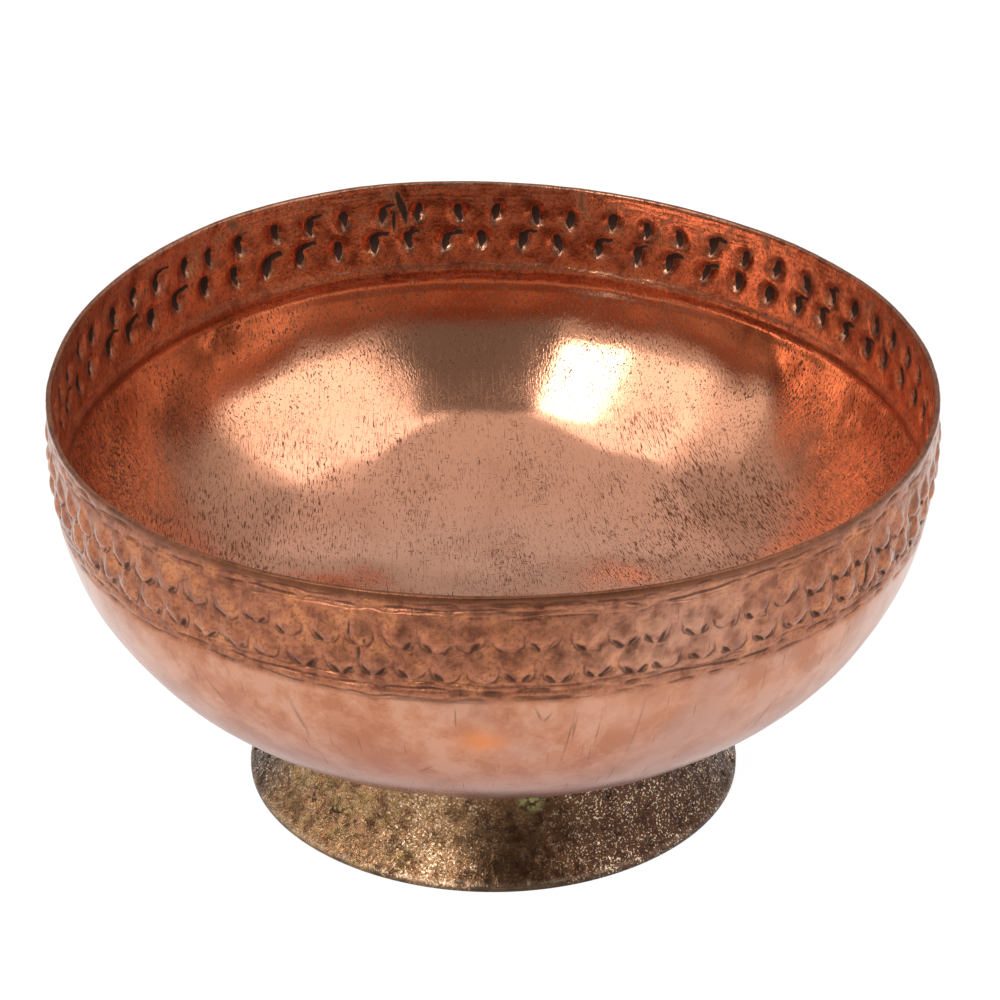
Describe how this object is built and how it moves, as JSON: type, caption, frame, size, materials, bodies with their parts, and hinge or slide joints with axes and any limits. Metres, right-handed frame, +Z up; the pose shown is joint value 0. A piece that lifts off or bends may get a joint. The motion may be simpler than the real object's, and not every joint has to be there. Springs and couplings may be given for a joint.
{
  "type": "footed bowl",
  "caption": "Round copper bowl with a band of hammered marks below the rim, on a flared cast brass foot. It holds fruit, food or small things, or stands for show.",
  "frame": {"origin": "on the table, at the centre of the ring that the foot stands on", "axes": "+Z up along the bowl's axis; the bowl is round, so X and Y are any two level directions"},
  "size_m": [0.2024, 0.2024, 0.1032],
  "materials": {
    "copper": "satin copper, dark in the hammered marks",
    "cast_brass": "rough sand casting, browned, worn bright on its high points",
    "solder": "dull soft solder with green flux stains"
  },
  "bodies": {
    "root": {"copper_bowl": "copper", "cast_foot": "cast_brass", "solder_seam": "solder"}
  },
  "joints": []
}
